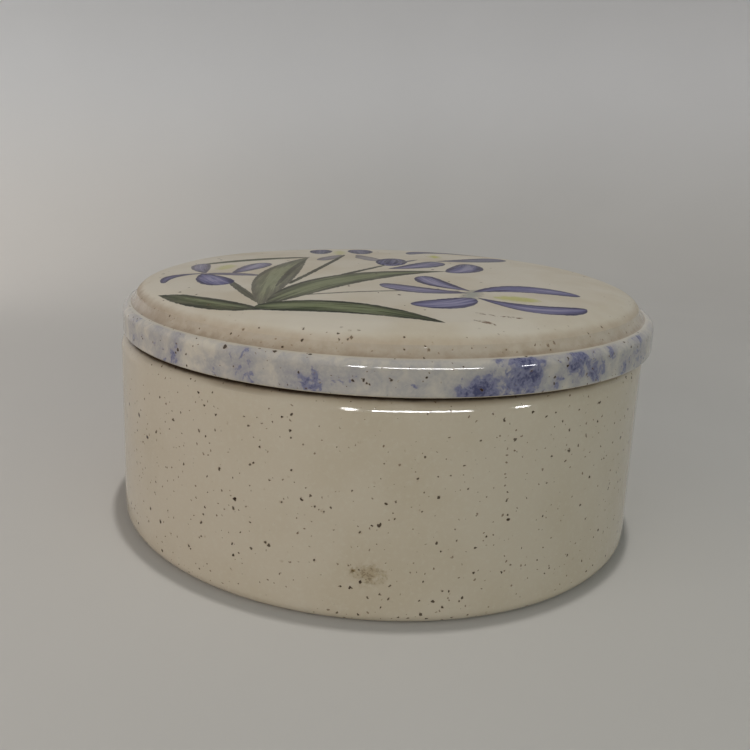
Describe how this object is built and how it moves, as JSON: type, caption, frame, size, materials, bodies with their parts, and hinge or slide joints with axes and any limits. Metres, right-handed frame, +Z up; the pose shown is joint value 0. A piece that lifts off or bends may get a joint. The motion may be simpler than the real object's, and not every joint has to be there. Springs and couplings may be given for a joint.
{
  "type": "covered butter crock",
  "caption": "Low, wide, straight-sided stoneware crock with a loose overhanging domed lid for keeping butter.",
  "frame": {"origin": "on the crock's axis, in the plane its foot stands on", "axes": "+Z up along the crock's axis; -Y is the front; the loose lid sits 1.35 mm off the axis towards +X"},
  "size_m": [0.1505, 0.1498, 0.071],
  "materials": {
    "crock_glaze": "clear gloss glaze over cream stoneware with brown iron specks",
    "lid_glaze": "clear gloss glaze over cream speckled stoneware with hand-painted flowers and a sponged blue rim"
  },
  "bodies": {
    "crock": {"crock": "crock_glaze"},
    "lid": {"lid": "lid_glaze"}
  },
  "joints": [
    {"name": "lid_lift", "type": "slide", "parent": "crock", "child": "lid", "axis": [0, 0, 1], "range_m": [0, 0.1]}
  ]
}
